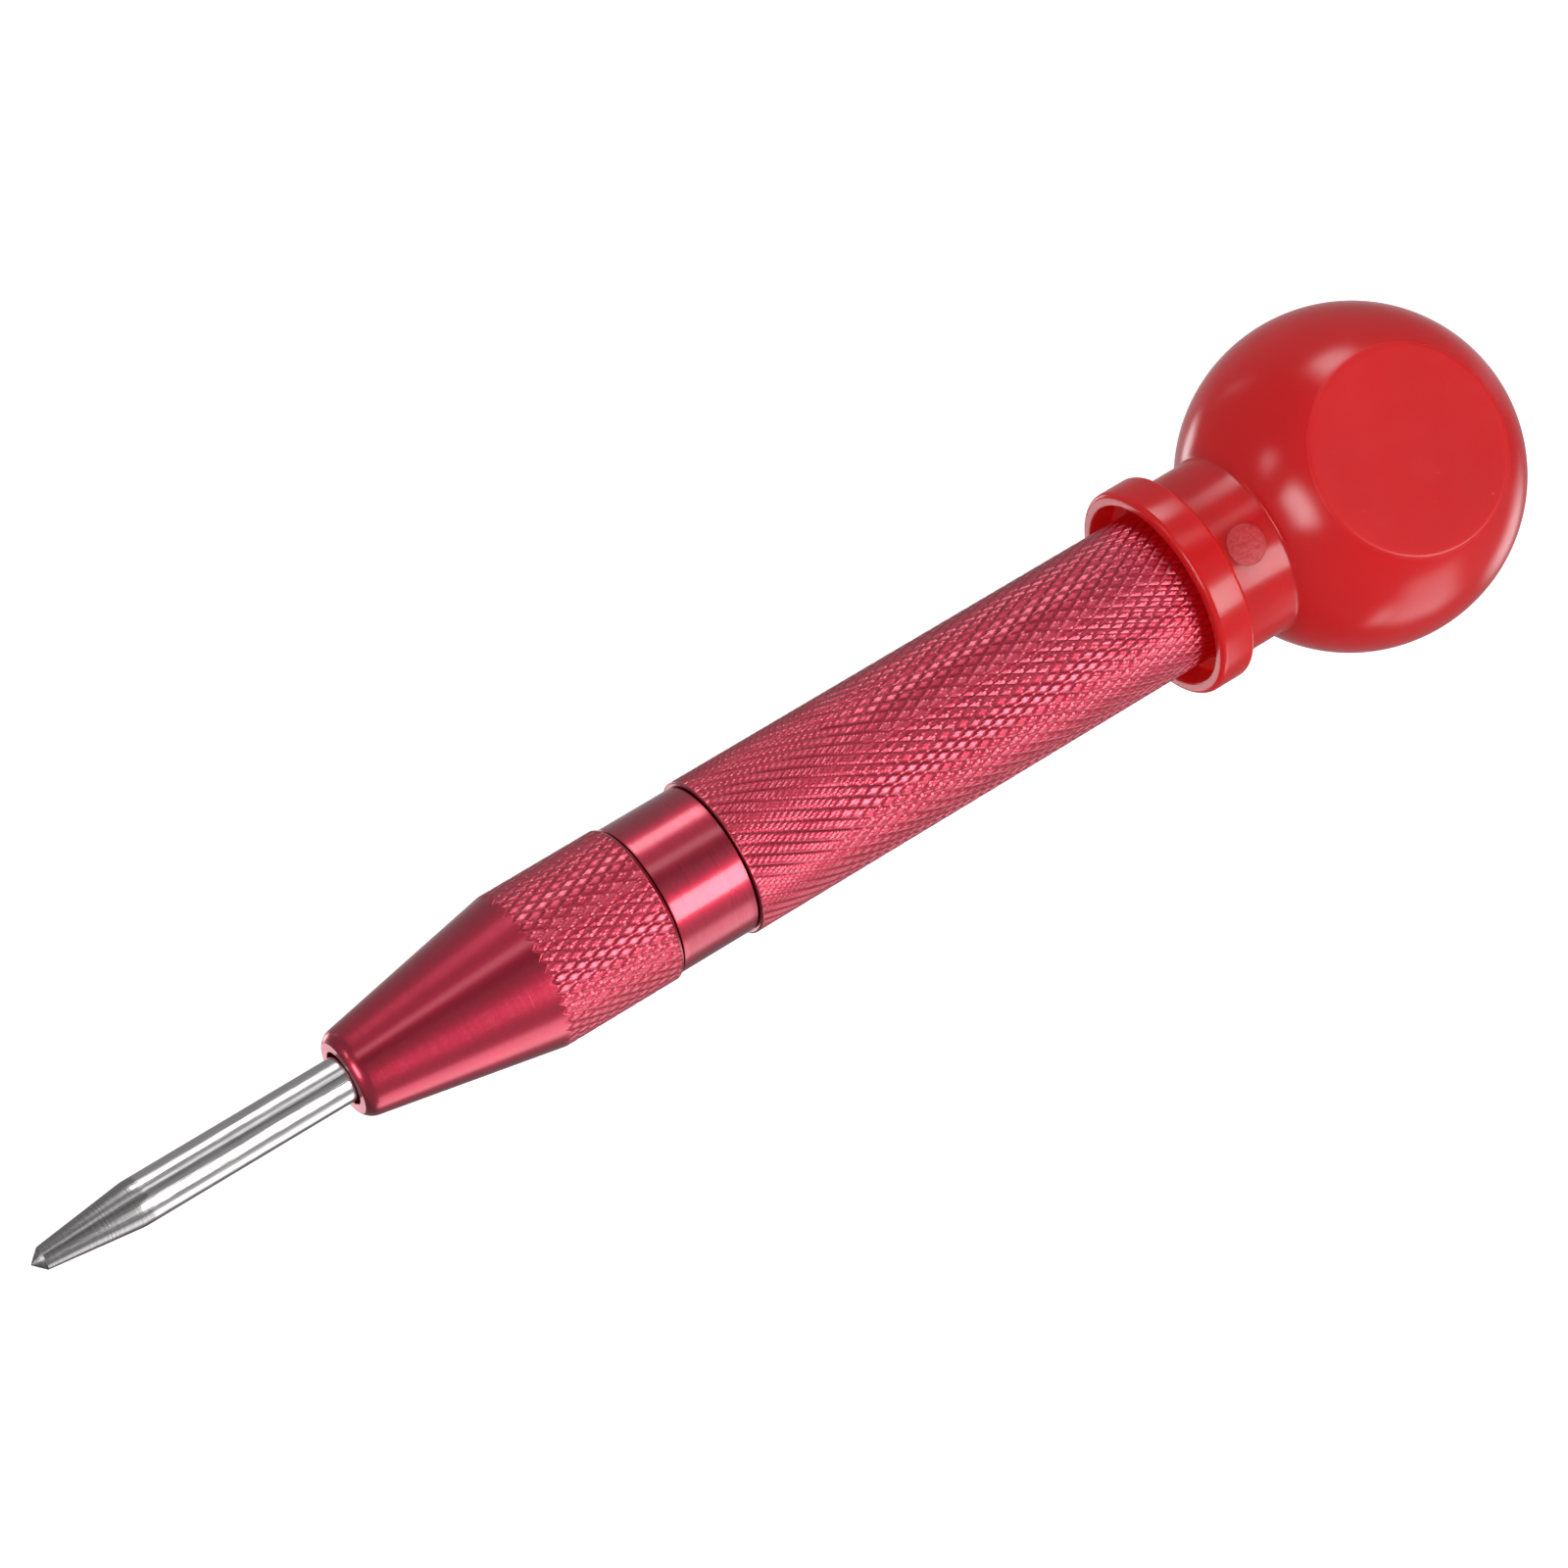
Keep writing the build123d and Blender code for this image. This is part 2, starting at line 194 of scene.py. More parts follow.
# ---------------------------------------------------------------------------
# Materials
# ---------------------------------------------------------------------------
class Nodes:
    def __init__(self, name):
        self.m = bpy.data.materials.new(name)
        self.m.use_nodes = True
        self.t = self.m.node_tree
        self.t.nodes.clear()
        self.out = self.t.nodes.new("ShaderNodeOutputMaterial")
        self.b = self.t.nodes.new("ShaderNodeBsdfPrincipled")
        self.t.links.new(self.b.outputs[0], self.out.inputs[0])
        self.tc = self.t.nodes.new("ShaderNodeTexCoord")
        self.sep = self.t.nodes.new("ShaderNodeSeparateXYZ")
        self.t.links.new(self.tc.outputs["Object"], self.sep.inputs[0])
        self.x, self.y, self.z = self.sep.outputs

    def link(self, a, b):
        self.t.links.new(a, b)

    def put(self, sock, v):
        if isinstance(v, bpy.types.NodeSocket):
            self.t.links.new(v, sock)
        elif v is not None:
            sock.default_value = v

    def set(self, name, v):
        self.put(self.b.inputs[name], v)

    def math(self, op, a, b=None, c=None, clamp=False):
        n = self.t.nodes.new("ShaderNodeMath")
        n.operation = op
        n.use_clamp = clamp
        for s, v in zip(n.inputs, (a, b, c)):
            self.put(s, v)
        return n.outputs[0]

    def noise(self, scale, detail=2.0, rough=0.5, vec=None, w=None, distortion=0.0):
        n = self.t.nodes.new("ShaderNodeTexNoise")
        n.noise_dimensions = "1D" if w is not None else "3D"
        if w is not None:
            self.put(n.inputs["W"], w)
        else:
            self.put(n.inputs["Vector"], vec if vec is not None else self.tc.outputs["Object"])
        n.inputs["Scale"].default_value = scale
        n.inputs["Detail"].default_value = detail
        n.inputs["Roughness"].default_value = rough
        n.inputs["Distortion"].default_value = distortion
        return n.outputs[0]

    def scaled(self, sx, sy, sz):
        n = self.t.nodes.new("ShaderNodeMapping")
        n.inputs["Scale"].default_value = (sx, sy, sz)
        self.link(self.tc.outputs["Object"], n.inputs[0])
        return n.outputs[0]

    def polar(self, sx, sa, sr=0.0):
        """Coordinates (x * sx, angle * sa, radius * sr) about the tool axis; the angle seam is at the underside."""
        dz = self.math("SUBTRACT", self.z, AXIS_H * MM)
        ang = self.math("ARCTAN2", self.y, dz)
        rad = self.math("SQRT", self.math("ADD", self.math("MULTIPLY", self.y, self.y), self.math("MULTIPLY", dz, dz)))
        n = self.t.nodes.new("ShaderNodeCombineXYZ")
        self.put(n.inputs[0], self.math("MULTIPLY", self.x, sx))
        self.put(n.inputs[1], self.math("MULTIPLY", ang, sa))
        self.put(n.inputs[2], self.math("MULTIPLY", rad, sr))
        return n.outputs[0]

    def range(self, v, a, b, c=0.0, d=1.0, smooth=False):
        n = self.t.nodes.new("ShaderNodeMapRange")
        n.interpolation_type = "SMOOTHSTEP" if smooth else "LINEAR"
        self.put(n.inputs["Value"], v)
        for k, x in (("From Min", a), ("From Max", b), ("To Min", c), ("To Max", d)):
            n.inputs[k].default_value = x
        return n.outputs[0]

    def mix(self, fac, a, b, mode="MIX"):
        n = self.t.nodes.new("ShaderNodeMix")
        n.data_type = "RGBA"
        n.blend_type = mode
        self.put(n.inputs[0], fac)
        self.put(n.inputs[6], a if isinstance(a, bpy.types.NodeSocket) else (*a, 1.0))
        self.put(n.inputs[7], b if isinstance(b, bpy.types.NodeSocket) else (*b, 1.0))
        return n.outputs[2]

    def attr(self, name):
        n = self.t.nodes.new("ShaderNodeAttribute")
        n.attribute_name = name
        return n.outputs["Fac"]

    def bump(self, height, strength, distance, normal=None):
        n = self.t.nodes.new("ShaderNodeBump")
        n.inputs["Strength"].default_value = strength
        n.inputs["Distance"].default_value = distance
        self.put(n.inputs["Height"], height)
        if normal is not None:
            self.put(n.inputs["Normal"], normal)
        return n.outputs[0]


def anodised(name, turned, rough, grain=0.0, crest=False, coat_rough=0.12, coat=1.0, tone=1.0, marks=0.0):
    """Dyed red anodised aluminium: coloured metal under a clear oxide skin."""
    N = Nodes(name)
    N.set("Metallic", 1.0)
    patch = N.noise(180.0, 3.0, 0.55)
    fine = N.noise(2600.0, 2.0, 0.6)
    k = lambda *c: tuple(v * tone for v in c)
    col = N.mix(N.range(patch, 0.35, 0.65), k(0.580, 0.020, 0.057), k(0.640, 0.023, 0.065))
    col = N.mix(N.range(fine, 0.30, 0.75, 0.0, 0.35), col, k(0.700, 0.036, 0.090))
    if crest:
        worn = N.math("MULTIPLY", N.range(N.attr("crest"), 0.80, 1.0), N.range(patch, 0.35, 0.7, 0.35, 1.0))
        col = N.mix(N.math("MULTIPLY", worn, 0.22), col, (0.74, 0.10, 0.17))
        # painted shade: the base colour darkens towards the bottoms of the knurl grooves, where shade falls
        groove_shade = N.range(N.attr("crest"), 0.30, 0.80, 0.60, 0.0)
        col = N.mix(groove_shade, col, (0.26, 0.007, 0.024))
    N.set("Base Color", col)
    N.set("Coat Weight", coat)
    N.set("Coat IOR", 1.70)
    nrm = None
    if turned > 0:
        # the tool marks are finer in some rings than in others
        ring = N.noise(3300.0, 3.0, 0.65, w=N.x)
        N.set("Roughness", N.range(ring, 0.25, 0.75, rough * (1 - marks), rough * (1 + marks)))
    else:
        N.set("Roughness", N.range(fine, 0.2, 0.8, rough * 0.86, rough * 1.18))
    N.set("Coat Roughness", coat_rough)
    if turned > 0:
        rings = N.noise(9000.0, 3.0, 0.7, w=N.x)
        wide = N.noise(1700.0, 2.0, 0.5, w=N.x)
        h = N.math("ADD", N.math("MULTIPLY", rings, 0.7), N.math("MULTIPLY", wide, 0.3))
        nrm = N.bump(h, 1.0, turned * MM)
    if grain > 0:
        g = N.noise(11000.0, 2.0, 0.6)
        nrm = N.bump(g, 1.0, grain * MM, nrm)
    if nrm is not None:
        N.set("Normal", nrm)
        N.set("Coat Normal", nrm)
    return N.m


def steel(name, base, rough, turned_to=None, ring=0.0, streak=0.0):
    """Steel; turned_to is the x (m) up to which the piece is as turned, and polished beyond."""
    N = Nodes(name)
    N.set("Metallic", 1.0)
    patch = N.noise(260.0, 4.0, 0.6)
    col = N.mix(N.range(patch, 0.3, 0.7), tuple(c * 0.93 for c in base), base)
    rings = N.noise(7000.0, 3.0, 0.75, w=N.x)
    wide = N.noise(2100.0, 2.0, 0.6, w=N.x)
    h = N.math("ADD", N.math("MULTIPLY", rings, 0.6), N.math("MULTIPLY", wide, 0.4))
    lines = N.noise(1.0, 3.0, 0.65, vec=N.polar(95.0, 17.0))
    if turned_to is not None:
        edge = N.math("ADD", N.x, N.math("MULTIPLY", N.math("SUBTRACT", N.noise(1.0, 2.0, 0.6, vec=N.polar(0.0, 3.0)), 0.5), 0.0022))
        raw = N.range(edge, turned_to - 0.00025, turned_to + 0.00025, 1.0, 0.0, smooth=True)
        col = N.mix(raw, col, N.mix(N.range(rings, 0.3, 0.7), tuple(c * 0.48 for c in base), tuple(c * 0.66 for c in base)))
        amount = N.math("ADD", N.math("MULTIPLY", raw, 0.92), 0.08)
        h = N.math("MULTIPLY", h, amount)
        r0 = N.range(patch, 0.2, 0.8, rough * 0.85, rough * 1.2)
        N.set("Roughness", N.math("ADD", r0, N.math("MULTIPLY", raw, 0.07)))
    else:
        N.set("Roughness", N.range(patch, 0.2, 0.8, rough * 0.85, rough * 1.25))
    N.set("Base Color", col)
    nrm = N.bump(h, 1.0, ring * MM)
    if streak > 0:
        nrm = N.bump(lines, 1.0, streak * MM, nrm)
    N.set("Normal", nrm)
    return N.m


def plastic(name, base, rough, sss=0.85, mark=False):
    """Glossy moulded plastic with faint flow, ripples and fine handling scratches."""
    N = Nodes(name)
    flow = N.noise(60.0, 2.0, 0.5)
    speck = N.noise(2600.0, 0.0, 0.5)
    col = N.mix(flow, tuple(c * 0.88 for c in base), tuple(min(1, c * 1.12) for c in base))
    col = N.mix(N.range(speck, 0.86, 0.93, 0.0, 0.35), col, (0.80, 0.20, 0.16))
    if mark:
        col = N.mix(N.range(N.noise(2900.0, 2.0, 0.7), 0.36, 0.70), col, (0.66, 0.060, 0.064))
    N.set("Base Color", col)
    N.set("Subsurface Weight", sss)
    N.set("Subsurface Radius", (1.0, 0.10, 0.07))
    N.set("Subsurface Scale", 0.0035)
    N.set("IOR", 1.50)
    smear = N.noise(170.0, 3.0, 0.6)
    # the two faces of the ball are satin
    off = N.math("ABSOLUTE", N.math("SUBTRACT", N.z, AXIS_H * MM))
    satin = N.range(off, 0.01165, 0.01193, 0.0, 1.0, smooth=True)
    gloss = N.range(smear, 0.0, 1.0, rough * 0.60, rough * 1.40)
    N.set("Roughness", N.math("ADD", gloss, N.math("MULTIPLY", satin, N.range(N.noise(420.0, 3.0, 0.65), 0.2, 0.8, 0.10, 0.24))))
    nrm = N.bump(N.noise(210.0, 1.0, 0.4), 1.0, 0.030 * MM)
    scr = N.noise(1.0, 2.0, 0.6, vec=N.scaled(700.0, 5200.0, 2600.0))
    nrm = N.bump(scr, 1.0, 0.0012 * MM, nrm)
    if mark:
        nrm = N.bump(N.noise(2300.0, 3.0, 0.7), 1.0, 0.10 * MM, nrm)
    N.set("Normal", nrm)
    return N.m


M_CONE = anodised("anodised_turned", turned=0.0075, rough=0.33, coat_rough=0.13, coat=0.68, tone=0.90, marks=0.05)
M_BAND = anodised("anodised_band", turned=0.0135, rough=0.34, coat_rough=0.13, coat=0.86, tone=0.84, marks=0.20)
M_KNURL = anodised("anodised_knurled", turned=0.0, rough=0.36, grain=0.0018, crest=True, coat_rough=0.19, coat=0.78, tone=1.00)
M_PIN = steel("steel_pin", (0.665, 0.646, 0.628), 0.13, turned_to=(10.0 - TOTAL / 2) * MM, ring=0.0060, streak=0.012)
M_HARD = steel("steel_hardened", (0.42, 0.42, 0.43), 0.30, ring=0.002)
M_WIRE = steel("steel_wire", (0.50, 0.49, 0.47), 0.28, ring=0.0)
M_PLASTIC = plastic("plastic_red", (0.725, 0.009, 0.011), 0.185)
# painted light: the inside of the flange mouth gets a brighter copy of the red plastic, standing in for light reaching
# into it
M_MOUTH_PAINTED_LIGHT = plastic("plastic_mouth_painted_light", (0.975, 0.034, 0.036), 0.42)
M_MARK = plastic("plastic_mark", (0.60, 0.022, 0.026), 0.46, sss=0.0, mark=True)

# ---------------------------------------------------------------------------
# 1 punch pin
# ---------------------------------------------------------------------------
s = Shape()
prof = fillets([(0, 0.0), (0.05, 0.04, 0.0), (1.0, 1.0, 0.05), (1.985, 9.05, 0.0), (2.0, 9.30, 0.25), (2.0, 12.0), (2.0, 38.05, 0.1),
                (3.1, 38.05, 0.05), (3.4, 38.35, 0.05), (3.4, 39.9, 0.05), (3.1, 40.2, 0.05), (0, 40.2)])
s.line(prof, 96)
pin = s.make("pin_turned", M_PIN, 32)
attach(pin, "pin"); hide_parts("punch_pin")

# ---------------------------------------------------------------------------
# Knurls: two families of V grooves, 44 starts each, 1.92 mm axial pitch
# ---------------------------------------------------------------------------
TEETH, PITCH, SUB = 44, 1.92, 8
COLS = TEETH * SUB


def vee(p, half):
    """1 at the bottom of the groove, 0 on the land, for a phase p."""
    t = np.abs(p - np.round(p))
    return np.clip(1 - t / half, 0, 1)


def lines_of(p, v, seed):
    """Depth factor of each groove: a seeded value per groove and a slow change along it."""
    rng = np.random.default_rng(seed)
    val = 1 + 0.16 * (rng.random(4096) - 0.5)
    k = np.round(p).astype(int) % TEETH
    ph = rng.random(TEETH) * PI2
    return val[k] * (1 + 0.08 * np.sin(v * 1.3 + ph[k]))


def step(x, a, b):
    t = np.clip((x - a) / (b - a), 0, 1)
    return t * t * (3 - 2 * t)


def helix(z0, z1, r_crest, r_root, pitch, n, s, prev, grow=0.0, per=8):
    """A single-start V thread as a relief, right-handed; fades in and out over one turn."""
    rows = int(round((z1 - z0) * per / pitch)) + 1
    z = np.linspace(z0, z1, rows)
    a = np.arange(n) * PI2 / n
    Z, A = np.meshgrid(z, a, indexing="ij")
    ph = Z / pitch + A / PI2
    t = np.abs(ph - np.floor(ph) - 0.5) * 2            # 0 crest, 1 root
    prof = 1 - np.clip((t - 0.12) / 0.80, 0, 1)
    fade = step(Z, z0, z0 + 0.8) * (1 - step(Z, z1 - 0.8, z1))
    R = r_root + grow + (r_crest - r_root) * prof * fade
    P = place(Z, R, A)
    idx = s.add(P.reshape(-1, 3)).reshape(rows, n)
    for i in range(rows - 1):
        s.quads(idx[i], idx[i + 1])
    if prev is not None:
        s.join(prev, idx[0])
    return idx[-1]


# ---------------------------------------------------------------------------
# 2 nose cone
# ---------------------------------------------------------------------------
s = Shape()
FACE_R, EDGE_R, NOSE_Z = 3.2, 1.6, 28.6
a0 = math.radians(57.0)
ec = (FACE_R - EDGE_R * math.cos(a0), NOSE_Z + EDGE_R * math.sin(a0))
edge = [(ec[0] + EDGE_R * math.cos(t), ec[1] + EDGE_R * math.sin(t)) for t in np.radians(np.linspace(-57.0, -10.5, 12))]
SLOPE = (6.91 - edge[-1][0]) / (45.6 - edge[-1][1])
inner = fillets([(5.48, 46.4), (3.6, 46.4, 0.05), (3.6, 38.0, 0.05), (2.34, 38.0, 0.05), (2.04, 37.7, 0.05), (2.04, 30.1, 0.03),
                 (2.35, 29.8, 0.03), (2.35, 28.6, 0.10), (3.195, 28.6)], seg=16)
N1 = 176
z_in = np.linspace(55.7, 46.7, 40)
start = s.ring(5.58, 56.60, N1)
prev = start
for r, z in [(5.58, 56.0)]:
    ring = s.ring(r, z, N1); s.join(prev, ring); prev = ring
for k, z in enumerate(z_in):
    a = np.arange(N1) * PI2 / N1
    ph = z / 1.0 + a / PI2
    t = np.abs(ph - np.floor(ph) - 0.5) * 2
    R = 4.94 + 0.54 * (1 - np.clip((t - 0.12) / 0.8, 0, 1)) if 2 <= k < len(z_in) - 2 else np.full(N1, 5.48)
    ring = s.add(place(z, R, a)); s.join(prev, ring); prev = ring
prev = s.line(inner, N1, prev)
prev = s.line(edge, N1, prev)
prev = s.line([(edge[-1][0] + SLOPE * (z - edge[-1][1]), z) for z in np.linspace(30.5, 44.16, 18)], N1, prev)

prev_ring = prev
for rows, cols in ((np.arange(44.28, 45.78, 0.06), COLS * 2), (np.concatenate([np.arange(45.84, 56.30, PITCH / SUB), [56.30, 56.36]]), COLS)):
    Z, AA = np.meshgrid(rows, np.arange(cols) * PI2 / cols, indexing="ij")
    u, v = AA * TEETH / PI2, Z / PITCH
    # the two wheels track a little deeper on opposite sides
    dA = 0.080 * (1 - 0.25 * np.sin(AA))
    dB = 0.080 * (1 + 0.25 * np.sin(AA))
    pA, pB = u + v + 0.125, u - v + 0.25
    cut = np.maximum(dA * vee(pA, 0.20) * lines_of(pA, v, 3), dB * vee(pB, 0.20) * lines_of(pB, v, 4))
    cut = cut * (1 - step(Z, 56.30, 56.34))
    cone = edge[-1][0] + SLOPE * (Z - edge[-1][1])
    R = np.minimum(np.minimum(cone, 6.91), 6.91 - cut)
    first, prev_ring = s.relief(place(Z, R, AA), np.where(Z < 45.6, R - np.minimum(cone, 6.91), -cut), prev_ring)
prev = prev_ring
A = np.arange(COLS) * PI2 / COLS
tail = fillets([(6.905, 56.37), (6.90, 56.40, 0.02), (6.66, 56.68, 0.03), (5.75, 56.70, 0.03), (5.60, 56.62)], seg=14)
prev = s.line(tail, N1, prev)
s.join(prev, start)
nose = s.make("nose_cone_knurled", M_CONE, 6.4)
me = nose.data
me.materials.append(M_KNURL)
zc = np.array([p.center[0] for p in me.polygons]) / MM + TOTAL / 2
rc = np.array([math.hypot(p.center[1], p.center[2] - AXIS_H * MM) for p in me.polygons]) / MM
mat_i = ((zc > 45.6) & (zc < 56.37) & (rc > 6.3)).astype(np.int32)
me.polygons.foreach_set("material_index", mat_i)
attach(nose, "barrel"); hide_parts("nose_cone")

# ---------------------------------------------------------------------------
# 3 centre body: threaded spigots and the plain turned band between them
# ---------------------------------------------------------------------------
s = Shape()
N2 = 128
start = s.ring(3.6, 46.5, N2)
prev = s.line(fillets([(3.62, 46.50), (4.78, 46.50, 0.08), (4.88, 46.62)], 3), N2, start)
prev = helix(46.7, 55.7, 5.42, 4.88, 1.0, N2, s, prev)
prev = s.line(fillets([(4.88, 55.8), (4.88, 56.80, 0.05), (6.645, 56.80, 0.09), (6.645, 57.4), (6.645, 60.0), (6.645, 63.4),
                       (6.645, 64.05, 0.09), (4.88, 64.05, 0.05), (4.88, 64.9)], 4), N2, prev)
prev = helix(65.0, 83.5, 5.42, 4.88, 1.0, N2, s, prev)
prev = s.line(fillets([(4.88, 83.6), (4.78, 84.0, 0.05), (4.05, 84.0, 0.05), (3.9, 83.85, 0.03), (3.9, 62.0, 0.05), (2.6, 62.0, 0.05),
                       (2.4, 61.8, 0.05), (2.4, 56.4, 0.05), (1.95, 56.0, 0.05), (1.95, 54.9, 0.05), (2.6, 53.75, 0.05), (3.6, 53.75, 0.05),
                       (3.6, 46.6)], 3), N2, prev)
s.join(prev, start)
body = s.make("centre_body_turned", M_BAND, 28)
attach(body, "barrel"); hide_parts("centre_body")

# ---------------------------------------------------------------------------
# 4 rear sleeve
# ---------------------------------------------------------------------------
s = Shape()
NB = 88
a = np.arange(NB) * PI2 / NB
start = s.ring(5.52, 64.33, NB)
prev = s.line(fillets([(5.52, 64.34), (5.70, 64.15, 0.04), (6.86, 64.15, 0.04), (6.98, 64.22)], 14), NB, start)
rows = np.concatenate([[64.24], np.arange(64.32, 111.55, PITCH / SUB), [111.60, 111.66]])
Z, AA = np.meshgrid(rows, A, indexing="ij")
u, v = AA * TEETH / PI2, Z / PITCH
# the two wheels press unevenly: the falling lines lead at the front, the rising ones behind; side is +1 on the far side
side = np.sin(AA)
zz = Z - 5.0 * side
dA = 0.100 - 0.010 * step(zz, 72, 84) - 0.010 * step(zz, 92, 104)
wA = 0.20 + 0.02 * step(zz, 72, 84) - 0.02 * step(zz, 92, 104)
dB = 0.050 + 0.045 * step(zz, 72, 84)
wB = 0.16 + 0.05 * step(zz, 72, 84)
dB2 = 0.050 * (1 - step(zz, 70, 80))
dA2 = 0.035 * step(zz, 97, 105)
pA, pB = u + v + 0.25, u - v + 0.125
cut = np.maximum(dA * vee(pA, wA) * lines_of(pA, v, 1), dB * vee(pB, wB) * lines_of(pB, v, 2))
cut = np.maximum(cut, dB2 * vee(pB + 0.5, 0.16))
cut = np.maximum(cut, dA2 * vee(pA + 0.5, 0.16))
cut = cut * step(Z, 64.18, 64.5) * (1 - step(Z, 111.56, 111.64))
R = 7.0 - cut
first, last = s.relief(place(Z, R, AA), -cut, prev)
prev = last
prev = s.line(fillets([(6.99, 111.70), (6.82, 111.88, 0.03), (6.80, 111.95), (6.80, 113.0), (6.80, 125.3, 0.25), (6.10, 126.0, 0.25),
                       (0, 126.0)], 16), NB, prev)
# bore and female thread, closed at the rear
back = ("pole", 121.6)
prev = s.line(fillets([(0, 121.6), (3.7, 121.1, 0.1), (4.2, 120.6, 0.1), (4.2, 86.9, 0.05), (5.52, 86.5, 0.05), (5.90, 86.0)], 3), NB)
rows_t = int((85.5 - 66.5) * 6) + 1
for k, z in enumerate(np.linspace(85.5, 66.5, rows_t)):
    ph = z / 1.0 + a / PI2
    t = np.abs(ph - np.floor(ph) - 0.5) * 2
    R1 = 5.52 + 0.45 * np.clip((t - 0.1) / 0.8, 0, 1)
    ring = s.add(place(z, R1, a)); s.join(prev, ring); prev = ring
prev = s.line([(5.52, 66.2), (5.52, 65.0)], NB, prev)
s.join(prev, start)
sleeve = s.make("rear_sleeve_knurled", M_KNURL, 6.4)
me = sleeve.data
me.materials.append(M_BAND)
zc = np.array([p.center[0] for p in me.polygons]) / MM + TOTAL / 2
me.polygons.foreach_set("material_index", (zc > 111.72).astype(np.int32))
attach(sleeve, "sleeve"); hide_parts("rear_sleeve")

# ---------------------------------------------------------------------------
# 5 ball cap
# ---------------------------------------------------------------------------
BALL_R, BALL_Z, FLAT, EF = 15.0, 131.0, 12.0, 0.46
NECK_R, NF = 8.25, 0.38
cx = (BALL_Z - TOTAL / 2)
pc = math.sqrt((BALL_R - EF) ** 2 - (FLAT - EF) ** 2)
th1 = math.atan2(pc, FLAT - EF)
cap_prof = [(rr, FLAT - 0.035 * (1 - (rr / 8.6) ** 2) ** 2 if rr < 8.6 else FLAT) for rr in (0.7, 1.6, 2.6, 3.6, 4.6, 5.6, 6.5, 7.3, 8.0, 8.5)]
cap_prof += [(pc + EF * math.sin(t), FLAT - EF + EF * math.cos(t)) for t in np.linspace(0, th1, 7)]
cap_prof += [(BALL_R * math.sin(t), BALL_R * math.cos(t)) for t in np.linspace(th1, math.pi / 2, 44)[1:]]
full = [(0.0, FLAT - 0.035)] + cap_prof + [(r, -z) for r, z in reversed(cap_prof[:-1])] + [(0.0, -(FLAT - 0.035))]
NL = 256
ang = np.arange(NL) * PI2 / NL
verts, faces = [], []
rings = []
for r, z in full:
    if r < 1e-9:
        rings.append([len(verts)]); verts.append((cx * MM, 0.0, (AXIS_H + z) * MM))
    else:
        rings.append(list(range(len(verts), len(verts) + NL)))
        verts += [((cx + r * math.cos(t)) * MM, r * math.sin(t) * MM, (AXIS_H + z) * MM) for t in ang]
for P, Q in zip(rings, rings[1:]):
    if len(P) == 1:
        faces += [(P[0], Q[i], Q[(i + 1) % NL]) for i in range(NL)]
    elif len(Q) == 1:
        faces += [(P[i], Q[0], P[(i + 1) % NL]) for i in range(NL)]
    else:
        faces += [(P[i], Q[i], Q[(i + 1) % NL], P[(i + 1) % NL]) for i in range(NL)]
me = bpy.data.meshes.new("ball_part")
me.from_pydata(verts, [], faces)
bm = bmesh.new()
bm.from_mesh(me)
fc_r = NECK_R + NF
fc_z = BALL_Z - math.sqrt((BALL_R + NF) ** 2 - fc_r ** 2)
tb_z = BALL_Z - (BALL_Z - fc_z) * BALL_R / (BALL_R + NF)
tb_r = fc_r * BALL_R / (BALL_R + NF)
cut_x = (tb_z - TOTAL / 2) * MM
bmesh.ops.bisect_plane(bm, geom=list(bm.verts) + list(bm.edges) + list(bm.faces), dist=1e-7,
                       plane_co=(cut_x, 0, 0), plane_no=(-1, 0, 0), clear_outer=True)
rim = [v for v in bm.verts if v.is_boundary]
bmesh.ops.remove_doubles(bm, verts=rim, dist=3e-5)
bm.verts.ensure_lookup_table()
for k, v in enumerate(bm.verts):
    v.index = k
vs = np.array([v.co[:] for v in bm.verts])
fs = [[v.index for v in f.verts] for f in bm.faces]
rim = np.array([v.index for v in bm.verts if v.is_boundary])
bm.free()
bpy.data.meshes.remove(me)
s = Shape()
s.add(vs)
s.f += fs
ra = np.arctan2(vs[rim, 1], vs[rim, 2] - AXIS_H * MM) % PI2
order = np.argsort(ra)
rim, ra = rim[order], ra[order]
NC = 192
ang_b = math.degrees(math.atan2(tb_z - fc_z, tb_r - fc_r)) % 360
neck = [(fc_r + NF * math.cos(math.radians(t)), fc_z + NF * math.sin(math.radians(t))) for t in np.linspace(ang_b, 180, 9)[1:]]
ring0 = s.ring(neck[0][0], neck[0][1], NC)
s.zipper(rim, ring0, ra, np.arange(NC) * PI2 / NC)
flange = fillets([(NECK_R, 117.6), (NECK_R, 112.85, 0.18), (9.53, 112.85, 0.32), (9.53, 109.5, 0.62), (8.42, 109.5, 0.16),
                  (8.36, 111.9, 0.2), (7.25, 111.9, 0.1), (6.85, 112.3, 0.1), (6.85, 125.9, 0.2), (5.45, 126.3, 0.2), (0, 127.6)], 7)
s.line(neck[1:] + flange, NC, ring0)
cap = s.make("ball_cap_moulded", M_PLASTIC, 38)
me = cap.data
me.materials.append(M_MOUTH_PAINTED_LIGHT)
zc = np.array([p.center[0] for p in me.polygons]) / MM + TOTAL / 2
rc = np.array([math.hypot(p.center[1], p.center[2] - AXIS_H * MM) for p in me.polygons]) / MM
# the mouth wall and step face take the brighter plastic, painted light inside the mouth
me.polygons.foreach_set("material_index", ((zc > 109.6) & (zc < 112.84) & (rc < 8.46)).astype(np.int32))
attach(cap, "cap"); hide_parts("ball_cap")

